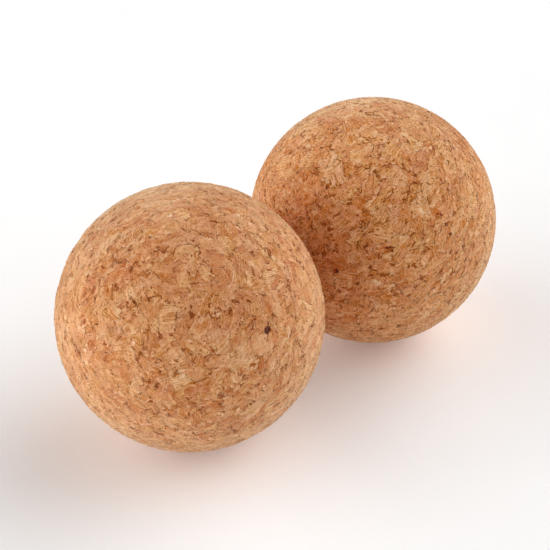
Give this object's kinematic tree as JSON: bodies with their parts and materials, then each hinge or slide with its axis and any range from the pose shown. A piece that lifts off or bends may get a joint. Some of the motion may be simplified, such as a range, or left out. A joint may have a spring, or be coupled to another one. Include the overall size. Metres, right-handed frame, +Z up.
{
  "type": "massage ball",
  "caption": "Pair of solid round cork massage balls, loose and lying side by side, for rolling under feet, back and shoulders.",
  "frame": {"origin": "on the floor, under the point where the two balls meet", "axes": "+X from the front ball's centre to the rear ball's centre, +Z up"},
  "size_m": [0.1304, 0.065, 0.065],
  "materials": {
    "cork": "matt sanded agglomerated cork, bare, tan granules with darker seams and pits"
  },
  "bodies": {
    "front_ball": {"front_ball": "cork"},
    "rear_ball": {"rear_ball": "cork"}
  },
  "joints": [
    {"name": "rear_ball_roll_away", "type": "slide", "parent": "front_ball", "child": "rear_ball", "axis": [1, 0, 0], "range_m": [0, 0.065]}
  ]
}
